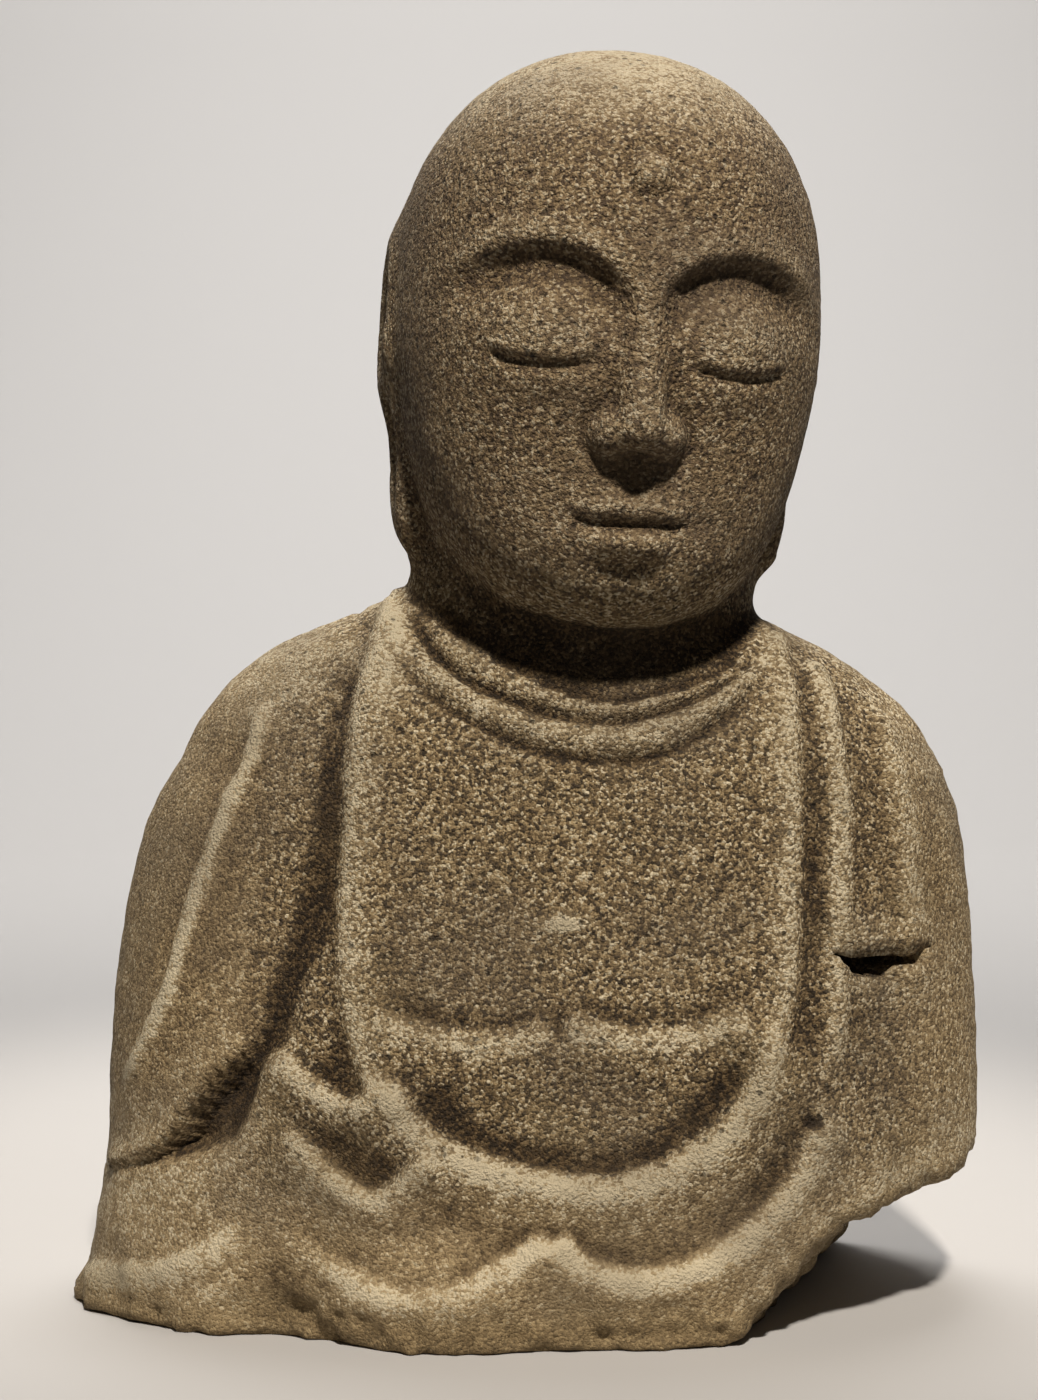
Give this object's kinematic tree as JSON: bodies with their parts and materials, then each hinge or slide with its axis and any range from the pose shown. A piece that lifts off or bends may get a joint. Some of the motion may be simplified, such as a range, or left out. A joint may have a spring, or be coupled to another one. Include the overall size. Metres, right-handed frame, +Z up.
{
  "type": "stone buddha statue",
  "caption": "Robed figure with a shaven head and closed eyes, carved from one piece of brown stone, broken off at the lap",
  "frame": {"origin": "On the flat underside at z = 0, under the middle of the shoulders.", "axes": "+Z is up, along the figure's height; the figure faces -Y; +X is to the right as one looks at its front."},
  "size_m": [0.2254, 0.138, 0.308],
  "materials": {
    "stone": "dull, grainy, weathered"
  },
  "bodies": {
    "root": {"stone_figure": "stone"}
  },
  "joints": []
}
